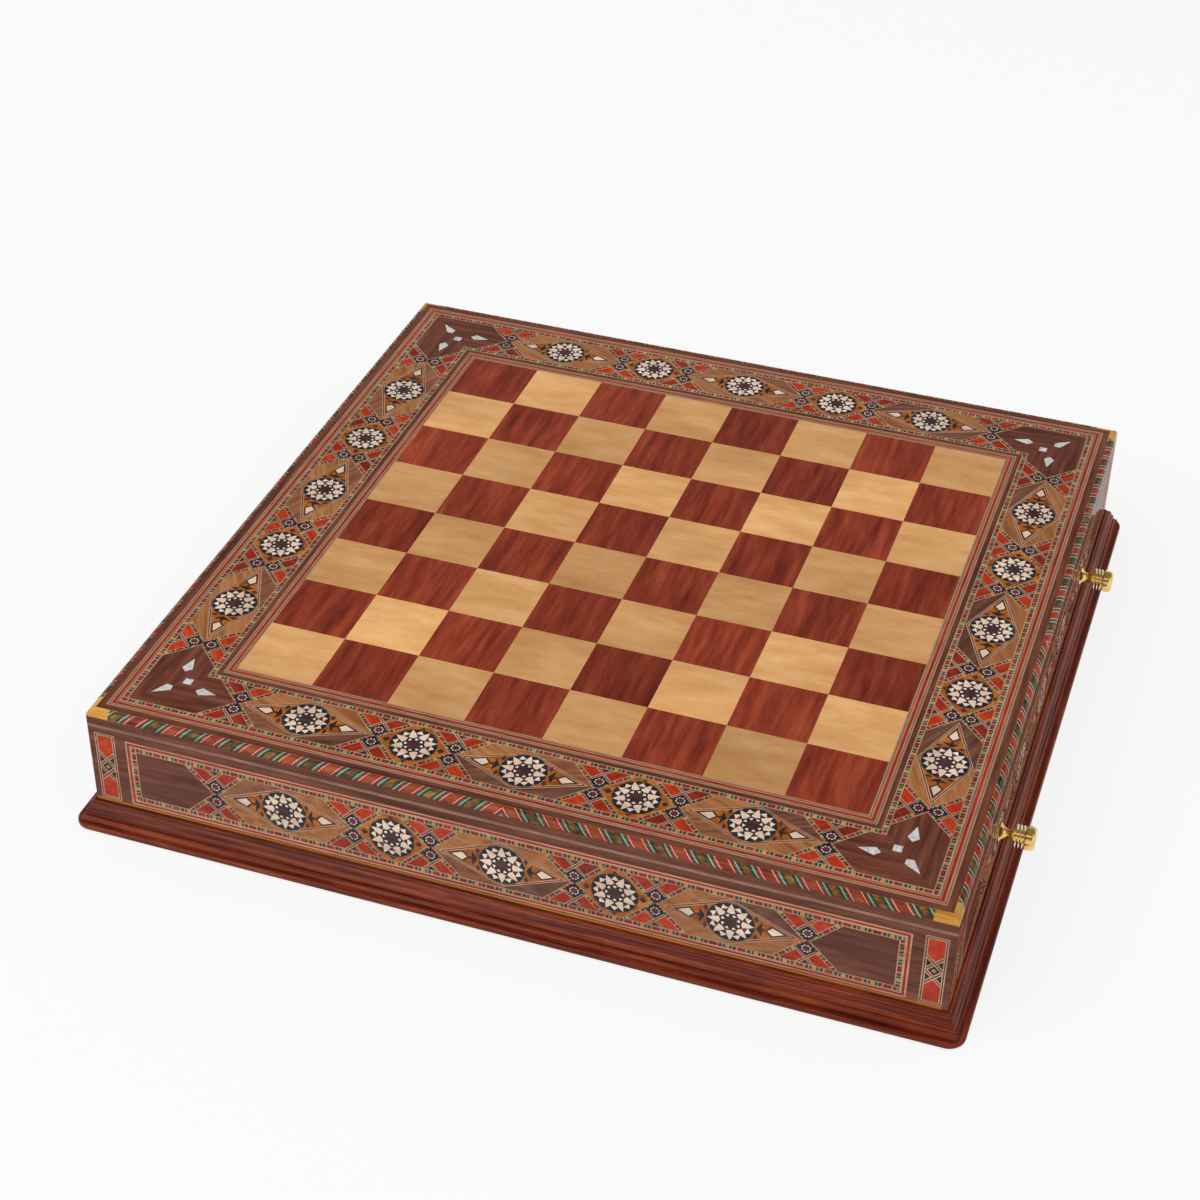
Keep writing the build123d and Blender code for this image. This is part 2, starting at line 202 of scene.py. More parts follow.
def blank(name, roughness, **values):
    """A new material with its shader, and the sockets of the shader that stay the same all over."""
    material = bpy.data.materials.new(name)
    material.use_nodes = True
    tree = material.node_tree
    shader = tree.nodes["Principled BSDF"]
    shader.inputs["Roughness"].default_value = roughness
    for socket, value in values.items():
        shader.inputs[socket.replace("_", " ")].default_value = value
    place = tree.nodes.new("ShaderNodeTexCoord").outputs["Object"]
    return material, tree, shader, place


def grouped(tree, which, inputs):
    made = tree.nodes.new("ShaderNodeGroup")
    made.node_tree = which
    for name, value in inputs.items():
        if isinstance(value, bpy.types.NodeSocket):
            tree.links.new(value, made.inputs[name])
        else:
            made.inputs[name].default_value = value
    return made.outputs


def finish_wood(tree, shader, colour, grain, depth, roughness):
    """Colour, a little gloss change and the pores' depth, under a clear lacquer."""
    tree.links.new(colour, shader.inputs["Base Color"])
    span = {0: grain["Streaks"], 1: 0.3, 2: 0.7, 3: roughness - 0.06, 4: roughness + 0.06}
    rough = put(tree, "MapRange", None, span)
    tree.links.new(rough.outputs[0], shader.inputs["Roughness"])
    dent = put(tree, "Bump", None, {"Strength": 0.25, "Distance": depth * MM, "Height": grain["Pores"]})
    dent.invert = True
    tree.links.new(dent.outputs[0], shader.inputs["Normal"])


def lacquered(name, roughness, lacquer=1.0):
    """A blank material whose only gloss is its clear lacquer."""
    return blank(name, roughness, Specular_IOR_Level=0.0, Coat_Weight=GLOSS * lacquer, Coat_Roughness=0.05)


def wood(name, dark, middle, light, fine=300.0, stretch=12.0, axes="board", pores=0.35, turn=0.0, lacquer=1.0):
    """Lacquered wood with streaks from dark to light along its grain."""
    material, tree, shader, place = lacquered(name, 0.4, lacquer)
    spread = None
    if axes == "board":
        place = grouped(tree, BOARD_AXES, {"Place": place})[0]
    if axes == "squares":
        place, spread = grouped(tree, CUT_SQUARES, {"Place": place})
    if turn:
        place = put(tree, "Mapping", None, {0: place, 2: (0, 0, math.radians(turn))}).outputs[0]
    grain = grouped(tree, WOOD_GRAIN, {"Place": place, "Fine": fine, "Stretch": stretch})
    colour = ramp(tree, grain["Streaks"], [(0.3, tone(dark)), (0.5, tone(middle)), (0.7, tone(light))])
    broad = ramp(tree, grain["Figure"], [(0.3, (0.72, 0.68, 0.66, 1)), (0.68, (1.12, 1.12, 1.12, 1))])
    colour = mixed(tree, 0.8, colour, broad, "MULTIPLY")
    colour = mixed(tree, maths(tree, "MULTIPLY", grain["Pores"], pores), colour, tone(dark))
    if spread is not None:
        shade = ramp(tree, spread, [(0.0, (0.8, 0.76, 0.74, 1)), (1.0, (1.14, 1.12, 1.1, 1))])
        colour = mixed(tree, 1.0, colour, shade, "MULTIPLY")
    finish_wood(tree, shader, colour, grain, 0.02, 0.38)
    return material


def twisted_line(name, middles, width, dash_step=0.85, dash_share=0.42):
    """Two pale lines with a brown row between them, all of it crossed by fine slanted dashes."""
    material, tree, shader, place = lacquered(name, 0.38)
    along = grouped(tree, BOARD_AXES, {"Place": place})[0]
    split = put(tree, "SeparateXYZ", None, {0: along})
    out = maths(tree, "ABSOLUTE", split.outputs[1])
    near = 1.0
    for middle in middles:
        off = maths(tree, "ABSOLUTE", maths(tree, "SUBTRACT", out, middle * MM))
        near = maths(tree, "MINIMUM", off, near)
    inside = maths(tree, "LESS_THAN", near, width * MM / 2)
    slant = maths(tree, "ADD", split.outputs[0], out)
    dash = maths(tree, "FRACT", maths(tree, "DIVIDE", slant, dash_step * MM))
    dash = maths(tree, "LESS_THAN", dash, dash_share)
    grain = grouped(tree, WOOD_GRAIN, {"Place": along, "Fine": 700.0, "Stretch": 8.0})
    pale = ramp(tree, grain["Streaks"], [(0.3, tone("#9c785c")), (0.7, tone("#c49c7a"))])
    brown = maths(tree, "MULTIPLY_ADD", inside, 0.55, maths(tree, "MULTIPLY", dash, 0.3))
    colour = mixed(tree, brown, pale, tone("#633c30"))
    finish_wood(tree, shader, colour, grain, 0.01, 0.38)
    return material


def cloth(name, dark, light, fine):
    """Felt or baize: short matted fibres."""
    material, tree, shader, place = blank(name, 0.95, Sheen_Weight=0.4, Sheen_Roughness=0.5)
    fibres = put(tree, "TexNoise", None, {"Vector": place, "Scale": fine, "Detail": 6.0, "Roughness": 0.7})
    clumps = put(tree, "TexNoise", None, {"Vector": place, "Scale": fine / 12, "Detail": 3.0})
    both = maths(tree, "MULTIPLY_ADD", clumps.outputs[0], 0.5, maths(tree, "MULTIPLY", fibres.outputs[0], 0.5))
    tree.links.new(ramp(tree, both, [(0.35, tone(dark)), (0.65, tone(light))]), shader.inputs["Base Color"])
    nap = put(tree, "Bump", None, {"Strength": 0.6, "Distance": 0.3 * MM, "Height": fibres.outputs[0]})
    tree.links.new(nap.outputs[0], shader.inputs["Normal"])
    return material


def metal(name, dark, light, roughness, fine):
    """Turned metal with faint cloudy wear."""
    material, tree, shader, place = blank(name, roughness, Metallic=1.0)
    wear = put(tree, "TexNoise", None, {"Vector": place, "Scale": fine, "Detail": 5.0, "Roughness": 0.6})
    tree.links.new(ramp(tree, wear.outputs[0], [(0.3, tone(dark)), (0.65, tone(light))]), shader.inputs["Base Color"])
    rough = put(tree, "MapRange", None, {0: wear.outputs[0], 1: 0.3, 2: 0.7, 3: roughness + 0.08, 4: roughness - 0.04})
    tree.links.new(rough.outputs[0], shader.inputs["Roughness"])
    return material


def shell(name):
    """Mother-of-pearl: pale layers that shift towards pink and green."""
    material, tree, shader, place = blank(name, 0.22, Coat_Weight=1.0, Coat_Roughness=0.04)
    layers = put(tree, "TexNoise", None, {"Vector": place, "Scale": 260.0, "Detail": 3.0, "Distortion": 1.6})
    stops = [(0.32, "#9fa5a4"), (0.44, "#d6d4cf"), (0.52, "#dccfd0"), (0.6, "#cfdcd6"), (0.72, "#eef0ee")]
    colour = ramp(tree, layers.outputs[0], [(share, tone(code)) for share, code in stops])
    tree.links.new(colour, shader.inputs["Base Color"])
    waves = put(tree, "Bump", None, {"Strength": 0.15, "Distance": 0.1 * MM, "Height": layers.outputs[0]})
    tree.links.new(waves.outputs[0], shader.inputs["Normal"])
    return material


WALNUT = wood("walnut", "#4a2519", "#6d3b2c", "#84503d", fine=330.0, stretch=14.0)
MAHOGANY = wood("mahogany", "#3c1007", "#702812", "#974420", fine=360.0, stretch=22.0, pores=0.6)
GOLDEN = wood("golden_wood", "#a46a22", "#d3963f", "#e8b763", fine=260.0, stretch=10.0)
FOOT_LINE = wood("foot_line_wood", "#9c5c1c", "#c27c28", "#d8933a", fine=400.0, stretch=20.0)
LIGHT_SQUARE = wood(
    "light_square_wood", "#d8a062", "#e4af72", "#edbf86", fine=130.0, stretch=3.0, axes="squares", pores=0.12)
DARK_SQUARE = wood(
    "dark_square_wood", "#682216", "#8e3924", "#a94d31", fine=210.0, stretch=9.0, axes="squares", turn=90.0)
RED_LINE = wood("red_line_wood", "#85180f", "#a42a18", "#b83c24", fine=500.0)
PADAUK = [
    wood("padauk_bright", "#a0280c", "#b93613", "#cb4a20", fine=420.0, stretch=9.0, turn=45.0),
    wood("padauk", "#85200c", "#a32d12", "#b64020", fine=420.0, stretch=9.0, turn=-45.0),
    wood("padauk_deep", "#661a0e", "#842817", "#9a3824", fine=420.0, stretch=9.0, turn=45.0),
]
FIELD_WOOD = [
    wood("tan_walnut", "#844f2a", "#a66c40", "#bb8250", fine=300.0, stretch=12.0, turn=24.0),
    wood("brown_walnut", "#6a3d27", "#8b583b", "#a36e4c", fine=300.0, stretch=12.0, turn=-24.0),
    wood("plum_walnut", "#4c2c20", "#704636", "#865c48", fine=330.0, stretch=12.0, turn=-24.0),
]
BURL = wood("burl", "#7a4012", "#ac601e", "#c68234", fine=260.0, stretch=2.0, pores=0.5)
CREAM = wood("cream_wood", "#dcc1a4", "#e8d1ba", "#f2dfcb", fine=500.0, stretch=5.0)
PALE = wood("pale_wood", "#d8cabb", "#e9ddd0", "#f3ebe2", fine=500.0, stretch=5.0)
PALE_LINE = wood("pale_line_wood", "#a87d5a", "#c0967a", "#d0a888", fine=500.0, stretch=8.0)
WINE = wood("wine_wood", "#571a1a", "#762826", "#8c3a38", fine=500.0, stretch=5.0)
INK = wood("black_wood", "#191b21", "#26282f", "#343741", fine=500.0, stretch=5.0)
HEART = wood("heart_wood", "#3a2022", "#4a2d2c", "#5a3a38", fine=500.0, stretch=5.0)
PLUM = wood("plum_wood", "#3c1f28", "#552d36", "#683e46", fine=500.0, stretch=5.0)
GREEN = wood("green_wood", "#1b5236", "#266543", "#357a54", fine=500.0, stretch=5.0)
MINT = wood("mint_wood", "#71987c", "#8aab90", "#a2bfa6", fine=500.0, stretch=5.0)
TAN = wood("tan_block_wood", "#a8733c", "#c08b50", "#cf9e66", fine=500.0, stretch=5.0)
ROSE_WOOD = wood("rose_wood", "#bd7460", "#d08c78", "#dca090", fine=500.0, stretch=5.0)
SCARLET = wood("scarlet_wood", "#8c1a1a", "#aa2924", "#bf3c34", fine=500.0, stretch=5.0)
RUSSET = wood("russet_wood", "#56281c", "#86442f", "#a8614a", fine=500.0, stretch=5.0)
ORANGE_BLOCK = wood("orange_block_wood", "#5a1f0c", "#8c4119", "#aa5e2a", fine=330.0, stretch=6.0)
BURL_BLOCK = wood("burl_block_wood", "#221308", "#6e451a", "#aa7a34", fine=330.0, stretch=2.0)
CARCASS = wood("carcass_wood", "#a37c50", "#bd9465", "#cfaa7c", fine=260.0, stretch=16.0, lacquer=0.3)
RING_LINES = twisted_line("ring_line_wood", (148.95, 152.1, 187.85, 190.75), 0.62)
EDGE_LINE = wood("edge_line_wood", "#7a5743", "#906c57", "#a6826c", fine=500.0, stretch=8.0)
FELT = cloth("felt", "#3d0c0e", "#64191b", 2600.0)
BAIZE = cloth("baize", "#0f2f1d", "#1c4a2e", 2600.0)
BRASS = metal("brass", "#d8a650", "#f4d488", 0.08, 160.0)
STEEL = metal("steel", "#77797c", "#a9abad", 0.3, 300.0)
PEARL = shell("mother_of_pearl")

NODE_FINISH = {
    "walnut": WALNUT, "mahogany": MAHOGANY, "golden_wood": GOLDEN, "light_squares_wood": LIGHT_SQUARE,
    "dark_squares_wood": DARK_SQUARE, "maple": RING_LINES, "red_dyed_wood": RED_LINE, "padauk": PADAUK[1],
    "chain_wood": CREAM, "carcass_wood": CARCASS, "felt": FELT, "baize": BAIZE, "brass": BRASS,
    "steel": STEEL, "pearl": PEARL,
}
OWN_FINISH = {"foot_lines": FOOT_LINE, "edge_line": EDGE_LINE, "striped_edging": RUSSET}

for part in frame["record"]["subparts"]:
    name = part["node"]
    finish = OWN_FINISH.get(name, NODE_FINISH[part["material_slot"]])
    slots = frame["nodes"][name].data.materials
    slots.clear()
    slots.append(finish)


# Cutting and laying veneer

def deselect():
    bpy.ops.object.select_all(action="DESELECT")


def only(piece):
    deselect()
    piece.select_set(True)
    bpy.context.view_layer.objects.active = piece


def trimmed(piece, cuts):
    """The piece cut off along lines. A cut is a point on the line and the direction of what is cut away."""
    only(piece)
    bpy.ops.object.mode_set(mode="EDIT")
    for (x, y), (nx, ny) in cuts:
        away = Vector((nx, ny, 0)).normalized()
        bpy.ops.mesh.select_all(action="SELECT")
        bpy.ops.mesh.bisect(
            plane_co=(x * MM, y * MM, 0), plane_no=away, use_fill=True, clear_outer=True, threshold=1e-6)
    bpy.ops.object.mode_set(mode="OBJECT")
    return piece


def bar(x0, x1, y0, y1, layer, finish):
    """A straight strip of veneer. Its top lies a few hundredths above the ground, by its layer."""
    deselect()
    high = layer * LIFT
    middle = ((x0 + x1) / 2 * MM, (y0 + y1) / 2 * MM, (high - SUNK) / 2 * MM)
    size = ((x1 - x0) * MM, (y1 - y0) * MM, (high + SUNK) * MM)
    bpy.ops.mesh.primitive_cube_add(size=1, location=middle, scale=size)
    piece = bpy.context.object
    bpy.ops.object.transform_apply(location=True, rotation=True, scale=True)
    piece.data.materials.append(finish)
    return piece


def veneer(outline, layer, finish):
    """A flat piece of veneer, cut out of a strip along each side of its outline."""
    xs = [x for x, y in outline]
    ys = [y for x, y in outline]
    piece = bar(min(xs), max(xs), min(ys), max(ys), layer, finish)
    cuts = []
    for (xa, ya), (xb, yb) in zip(outline, outline[1:] + outline[:1]):
        if abs(xa - xb) > 1e-6 and abs(ya - yb) > 1e-6:
            cuts.append(((xa, ya), (yb - ya, xa - xb)))
    return trimmed(piece, cuts)


def disc(radius, sides, layer, finish, turn=0.0):
    """A many-sided piece of veneer round the origin."""
    deselect()
    high = layer * LIFT
    bpy.ops.mesh.primitive_cylinder_add(
        vertices=sides, radius=radius * MM, depth=(high + SUNK) * MM, location=(0, 0, (high - SUNK) / 2 * MM),
        rotation=(0, 0, math.radians(turn)))
    piece = bpy.context.object
    bpy.ops.object.transform_apply(location=True, rotation=True, scale=True)
    piece.data.materials.append(finish)
    return piece


def place_for(x, y, turn):
    """A turn about the origin and then a move."""
    return Matrix.Translation((x * MM, y * MM, 0)) @ Matrix.Rotation(math.radians(turn), 4, "Z")


def copied(piece, x=0.0, y=0.0, turn=0.0, finish=None):
    """A copy with its own mesh, turned about the origin and then moved."""
    twin = piece.copy()
    twin.data = piece.data.copy()
    bpy.context.collection.objects.link(twin)
    twin.matrix_basis = place_for(x, y, turn) @ piece.matrix_basis
    if finish:
        twin.data.materials[0] = finish
    return twin


def ring(piece, count, start=0.0):
    """The piece and its copies all round the origin."""
    copies = [copied(piece, turn=start + 360 * k / count) for k in range(count)]
    bpy.data.objects.remove(piece)
    return copies


def joined(name, pieces):
    """One object of several pieces, with its place in its mesh."""
    deselect()
    for piece in pieces:
        piece.select_set(True)
    bpy.context.view_layer.objects.active = pieces[0]
    bpy.ops.object.join()
    whole = bpy.context.object
    bpy.ops.object.transform_apply(location=True, rotation=True, scale=True)
    whole.name = whole.data.name = name
    return whole


def settled(piece, place):
    """The piece put at its place, and the place taken into its mesh."""
    piece.matrix_basis = place @ piece.matrix_basis
    only(piece)
    bpy.ops.object.transform_apply(location=True, rotation=True, scale=True)
    return piece


def moved(piece, x=0.0, y=0.0, turn=0.0):
    return settled(piece, place_for(x, y, turn))


def repeated(piece, count, step):
    """The piece in a row along X."""
    row = piece.modifiers.new("row", "ARRAY")
    row.count = count
    row.use_relative_offset = False
    row.use_constant_offset = True
    row.constant_offset_displace = (step * MM, 0, 0)
    only(piece)
    bpy.ops.object.modifier_apply(modifier="row")
    return piece


def frame_line(half_x, half_y, width, layer, finish):
    """A mitred line of veneer round a rectangle, inwards from its outline."""
    deselect()
    high = layer * LIFT * MM
    bpy.ops.mesh.primitive_plane_add(size=1, location=(0, 0, high))
    piece = bpy.context.object
    bpy.ops.object.mode_set(mode="EDIT")
    bpy.ops.transform.resize(value=(2 * half_x * MM, 2 * half_y * MM, 1))
    bpy.ops.mesh.inset(thickness=width * MM)
    bpy.ops.mesh.delete(type="FACE")
    bpy.ops.mesh.select_all(action="SELECT")
    bpy.ops.mesh.extrude_region_move(TRANSFORM_OT_translate={"value": (0, 0, -high - SUNK * MM)})
    bpy.ops.mesh.select_all(action="SELECT")
    bpy.ops.mesh.normals_make_consistent(inside=False)
    bpy.ops.object.mode_set(mode="OBJECT")
    piece.data.materials.append(finish)
    return piece


# Chain borders: rows of small coloured blocks between two pale lines

GREEN_LINK = [(INK, 0.5), (GREEN, 0.5), (MINT, 0.35), (GREEN, 0.5), (INK, 0.5)]
BROWN_LINK = [(RUSSET, 0.9), (HEART, 0.35), (RUSSET, 1.1), (HEART, 0.35), (RUSSET, 0.9)]
RED_LINK = [(SCARLET, 0.65), (ROSE_WOOD, 0.5)] + BROWN_LINK + [(ROSE_WOOD, 0.5), (SCARLET, 0.65)]
LINKS = GREEN_LINK + [(TAN, 2.1)] + GREEN_LINK + RED_LINK
PERIOD = sum(wide for finish, wide in LINKS)


def chain(length, width, layer, shift=0.0):
    """A straight run of chain border along X, with the origin in its middle."""
    blocks = []
    count = math.ceil(length / PERIOD) + 2
    x = -count * PERIOD / 2 + shift * PERIOD
    edge = 0.16 * width
    for finish, wide in LINKS:
        blocks.append(bar(x, x + wide, edge - width / 2, width / 2 - edge, layer + 1, finish))
        x += wide
    links = repeated(joined("links", blocks), count, PERIOD)
    ground = bar(-length / 2, length / 2, -width / 2, width / 2, layer, PALE_LINE)
    row = joined("chain", [links, ground])
    return trimmed(row, [((length / 2, 0), (1, 0)), ((-length / 2, 0), (-1, 0))])


def chain_side(reach, near, width, layer, shift=0.0):
    """One mitred side of a chain border round a rectangle: it lies at near from the middle, towards -Y."""
    row = chain(2 * (reach + width), width, layer, shift)
    row = moved(row, y=-near - width / 2)
    return trimmed(row, [((reach, -near), (1, 1)), ((-reach, -near), (-1, 1))])


# The pieces of the marquetry, each round its own middle

def square_star(size, layer, finish):
    """Two squares laid over each other as an eight-pointed star."""
    half = size / 2**0.5
    first = bar(-half, half, -half, half, layer, finish)
    second = moved(bar(-half, half, -half, half, layer + 0.4, finish), turn=45)
    return [first, second]


def kite(foot, shoulder, half, tip, layer, finish):
    """A kite that points away from the origin along X. It is widest, by half to each side, at its shoulder."""
    return veneer([(foot, 0), (shoulder, -half), (tip, 0), (shoulder, half)], layer, finish)


def rosette():
    """The eight-pointed star in its black ground."""
    pieces = [disc(10.8, 16, 6, INK, 11.25)]
    pieces += ring(kite(4.7, 5.4, 2.4, 10.4, 7, CREAM), 8)
    pieces += ring(kite(5.3, 7.5, 1.75, 7.7, 7, WINE), 8, 22.5)
    pieces += ring(kite(7.5, 7.7, 1.75, 9.8, 8, PALE), 8, 22.5)
    pieces += ring(kite(2.9, 4.1, 0.95, 4.4, 8, PALE), 8, 22.5)
    return joined("rosette", pieces + square_star(3.7, 7, HEART))


def lozenge():
    """The pointed field of a large star, with its border, kites and arrowheads."""
    wide, high = LOZENGE
    pieces = []
    for layer, inset, finish in ((2, 0, PALE_LINE), (3, 0.5, HEART), (4, 0.95, PALE_LINE), (5, 1.45, BURL)):
        share = 1 - inset * math.hypot(1 / wide, 1 / high)
        a, b = wide * share, high * share
        pieces.append(veneer([(-a, 0), (0, -b), (a, 0), (0, b)], layer, finish))
    point = [kite(15.0, 17.9, 3.2, 25.4, 6, HEART), kite(16.2, 18.4, 2.25, 23.3, 7, CREAM)]
    point.append(veneer([(11.3, 0), (13.8, -4.3), (13.8, 4.3)], 6, INK))
    point.append(kite(13.6, 14.3, 1.1, 15.6, 7, HEART))
    for y in (-5.0, 5.0):
        point.append(veneer([(10.0, y), (11.1, y - 1.9), (12.2, y), (11.1, y + 1.9)], 6, PLUM))
    pieces += ring(joined("point", point), 2)
    return joined("lozenge", pieces)


def rose():
    """The small rose in its black square, which stands on its point."""
    half = (STRAP + ROSE) / 2
    ground = moved(bar(-half, half, -half, half, 8, INK), turn=45)
    petals = ring(kite(1.35, 1.75, 0.62, 2.3, 9, PALE), 8, 22.5)
    return joined("rose", [ground, disc(1.75, 8, 9.4, INK), disc(1.5, 8, 10, WINE)] + petals)


def crossing():
    """Two chains that cross, with a rose above and below and pale double lines round the roses."""
    near, far = STRAP + ROSE, STRAP + ROSE + LINE
    top = [moved(rose(), y=near / 2**0.5)]
    for turn, side in ((45, 1), (135, -1)):
        low, high = sorted((side * near, side * far))
        pale = moved(bar(STRAP, REACH, low, high, 3 + side / 2, PALE_LINE), turn=turn)
        dark = moved(bar(STRAP, REACH, low + 0.5, high - 0.5, 3.3 + side / 2, HEART), turn=turn)
        top += [pale, dark]
    top.append(moved(bar(far, REACH, far, REACH, 1, HEART), turn=45))
    half = trimmed(joined("half", top), [((0, BAND_HALF), (0, 1))])
    pieces = ring(half, 2)
    for turn, layer, shift in ((45, 4, 0.1), (-45, 6, 0.35)):
        strap = moved(chain(2 * REACH, 2 * STRAP, layer, shift), turn=turn)
        pieces.append(trimmed(strap, [((0, BAND_HALF), (0, 1)), ((0, -BAND_HALF), (0, -1))]))
    return joined("crossing", pieces)


def red_fields():
    """The two padauk pieces above a crossing, to its right and to its left."""
    near, far = STRAP + ROSE, STRAP + ROSE + LINE
    fields = []
    for turn, side in ((45, 1), (135, -1)):
        low, high = sorted((side * STRAP, side * near))
        piece = moved(bar(far, REACH, low, high, 1, PADAUK[0]), turn=turn)
        fields.append(trimmed(piece, [((0, BAND_HALF), (0, 1))]))
    return fields


def quarters():
    """The two walnut pieces above a lozenge, to its right and to its left."""
    reach = WALNUT_REACH
    right = veneer([(0, 0), (reach, 0), (reach - BAND_HALF, BAND_HALF), (0, BAND_HALF)], 1, FIELD_WOOD[0])
    left = veneer([(-reach, 0), (0, 0), (0, BAND_HALF), (BAND_HALF - reach, BAND_HALF)], 1, FIELD_WOOD[0])
    return [right, left]


def small_field():
    """The ground of a small star between two crossings."""
    reach = (CROSSINGS[1] - CROSSINGS[0]) / 2 - STRAP * 2**0.5
    short = reach - BAND_HALF
    outline = [(reach, 0), (short, BAND_HALF), (-short, BAND_HALF)]
    outline += [(-reach, 0), (-short, -BAND_HALF), (short, -BAND_HALF)]
    pieces = [veneer(outline, 1, BURL)]
    pieces += ring(kite(11.0, 12.9, 1.7, 14.6, 2, HEART), 2)
    pieces += ring(veneer([(-1.6, 11.0), (1.6, 11.0), (0, 12.8)], 2, HEART), 2)
    return joined("small_field", pieces)


PATTERNS = {
    "rosette": rosette(), "lozenge": lozenge(), "crossing": crossing(), "red": red_fields(),
    "quarter": quarters(), "small_field": small_field(),
}


def band(name):
    """All the marquetry of one band: grounds, straps and stars, as three pieces."""
    grounds, straps, stars = [], [], []
    for x in sorted(CROSSINGS + tuple(-x for x in CROSSINGS)):
        straps.append(copied(PATTERNS["crossing"], x=x, turn=random.choice((0, 180))))
        for turn in (0, 180):
            for field in PATTERNS["red"]:
                finish = random.choice(PADAUK[:2] + PADAUK)
                grounds.append(copied(field, x=x, turn=turn, finish=finish))
    for x in (-LARGE_STAR, 0.0, LARGE_STAR):
        straps.append(copied(PATTERNS["lozenge"], x=x))
        stars.append(copied(PATTERNS["rosette"], x=x))
        for turn in (0, 180):
            for piece in PATTERNS["quarter"]:
                grounds.append(copied(piece, x=x, turn=turn, finish=random.choice(FIELD_WOOD + FIELD_WOOD[:1])))
    for x in (-SMALL_STAR, SMALL_STAR):
        grounds.append(copied(PATTERNS["small_field"], x=x))
        stars.append(copied(PATTERNS["rosette"], x=x, turn=22.5))
    return [joined(name + "_grounds", grounds), joined(name + "_straps", straps), joined(name + "_stars", stars)]


def laid(pieces, place, body):
    """Puts finished pieces where they belong on the box."""
    for piece in pieces:
        settled(piece, place)
        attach(piece, body)


def on_top(quarter, out=0.0):
    """The place of a piece on the board, so many quarter turns from the front."""
    return Matrix.Rotation(math.radians(90 * quarter), 4, "Z") @ Matrix.Translation((0, -out * MM, BOARD_TOP * MM))


def on_side(quarter, height):
    """The place of a piece on an upright side of the box."""
    turn = Matrix.Rotation(math.radians(90 * quarter), 4, "Z")
    stand = Matrix.Rotation(math.radians(90), 4, "X")
    return turn @ Matrix.Translation((0, -BODY * MM, height * MM)) @ stand


SIDES = ("front", "right", "back", "left")


def side_body(side):
    return "drawer" if side == "right" else "case"


for quarter, side in enumerate(SIDES):
    laid(band(side + "_board_band"), on_top(quarter, BAND_MIDDLE), "case")
    laid(band(side + "_panel"), on_side(quarter, PANEL_MIDDLE), side_body(side))

for quarter, side in enumerate(SIDES):
    rows = [chain_side(at, at, CHAIN, 1, shift) for at, shift in ((INNER_CHAIN, 0.2), (OUTER_CHAIN, 0.6))]
    laid([joined(side + "_board_chains", rows)], on_top(quarter), "case")
    rows = [chain_side(PANEL_END, BAND_HALF, CHAIN, 4, shift) for shift in (0.3, 0.7)]
    rows += [chain_side(BAND_HALF, PANEL_END, CHAIN, 4, shift) for shift in (0.5, 0.9)]
    rows = [moved(row, turn=turn) for row, turn in zip(rows, (0, 180, 90, 270))]
    laid([joined(side + "_panel_chains", rows)], on_side(quarter, PANEL_MIDDLE), side_body(side))
    high = BAND_HALF + CHAIN
    wide = PANEL_END + CHAIN
    lines = []
    for out, width, finish in ((2.5, 0.8, PALE_LINE), (1.7, 1.1, RED_LINE), (0.6, 0.6, PALE_LINE)):
        lines.append(frame_line(wide + out, high + out, width, 2, finish))
    tip = CROSSINGS[2] + STRAP * 2**0.5
    outline = [(tip, 0), (tip + BAND_HALF, -BAND_HALF), (PANEL_END, -BAND_HALF)]
    outline += [(PANEL_END, BAND_HALF), (tip + BAND_HALF, BAND_HALF)]
    ends = ring(veneer(outline, 1, WALNUT), 2)
    laid([joined(side + "_panel_lines", lines + ends)], on_side(quarter, PANEL_MIDDLE), side_body(side))


# The short panels at the ends of the four sides

def end_panel():
    """Two red fields with a black diamond between them, in a pale double line."""
    wide, high = END_PANEL_HALF
    inner = wide - 1.5
    pieces = [frame_line(wide, high, 0.5, 4, PALE_LINE), frame_line(wide - 0.5, high - 0.5, 0.5, 3.6, HEART)]
    pieces.append(frame_line(wide - 1, high - 1, 0.5, 4, PALE_LINE))
    pieces.append(bar(-inner, inner, -9, 9, 1, INK))
    outline = [(0, 5.3), (inner, 5.3 + inner), (inner, high - 1.5), (-inner, high - 1.5), (-inner, 5.3 + inner)]
    pieces += ring(veneer(outline, 2, PADAUK[0]), 2)
    for turn in (45, 135, 225, 315):
        strap = [bar(-9, 9, 1.9, 3.7, 2.4 + turn / 300, PALE_LINE), bar(-9, 9, 2.5, 3.1, 2.6 + turn / 300, HEART)]
        strap = moved(joined("strap", strap), turn=turn)
        pieces.append(trimmed(strap, [((inner, 0), (1, 0)), ((-inner, 0), (-1, 0))]))
    pieces.append(moved(bar(-0.9, 0.9, -0.9, 0.9, 4, TAN), turn=45))
    return joined("end_panel", pieces)


PATTERNS["end_panel"] = end_panel()
for quarter, side in enumerate(SIDES):
    ends = [copied(PATTERNS["end_panel"], x=x) for x in (-END_PANEL_AT, END_PANEL_AT)]
    laid([joined(side + "_end_diamonds", ends)], on_side(quarter, END_PANEL_MIDDLE), "case")


# The striped edging: slanted stripes that run over the rounded edge of the board

UNIT = 0.338                       # the stripes are a row of units, a letter each
RED_STRIPE = "rrrwrrr"
GREEN_STRIPE = "gggwggg"
STRIPES = 11 * "o" + RED_STRIPE + "k" + GREEN_STRIPE + "kk" + 11 * "b" + "kk" + GREEN_STRIPE + "k" + RED_STRIPE
SLANT = 4.6                        # how far a stripe runs along the edge while it crosses it


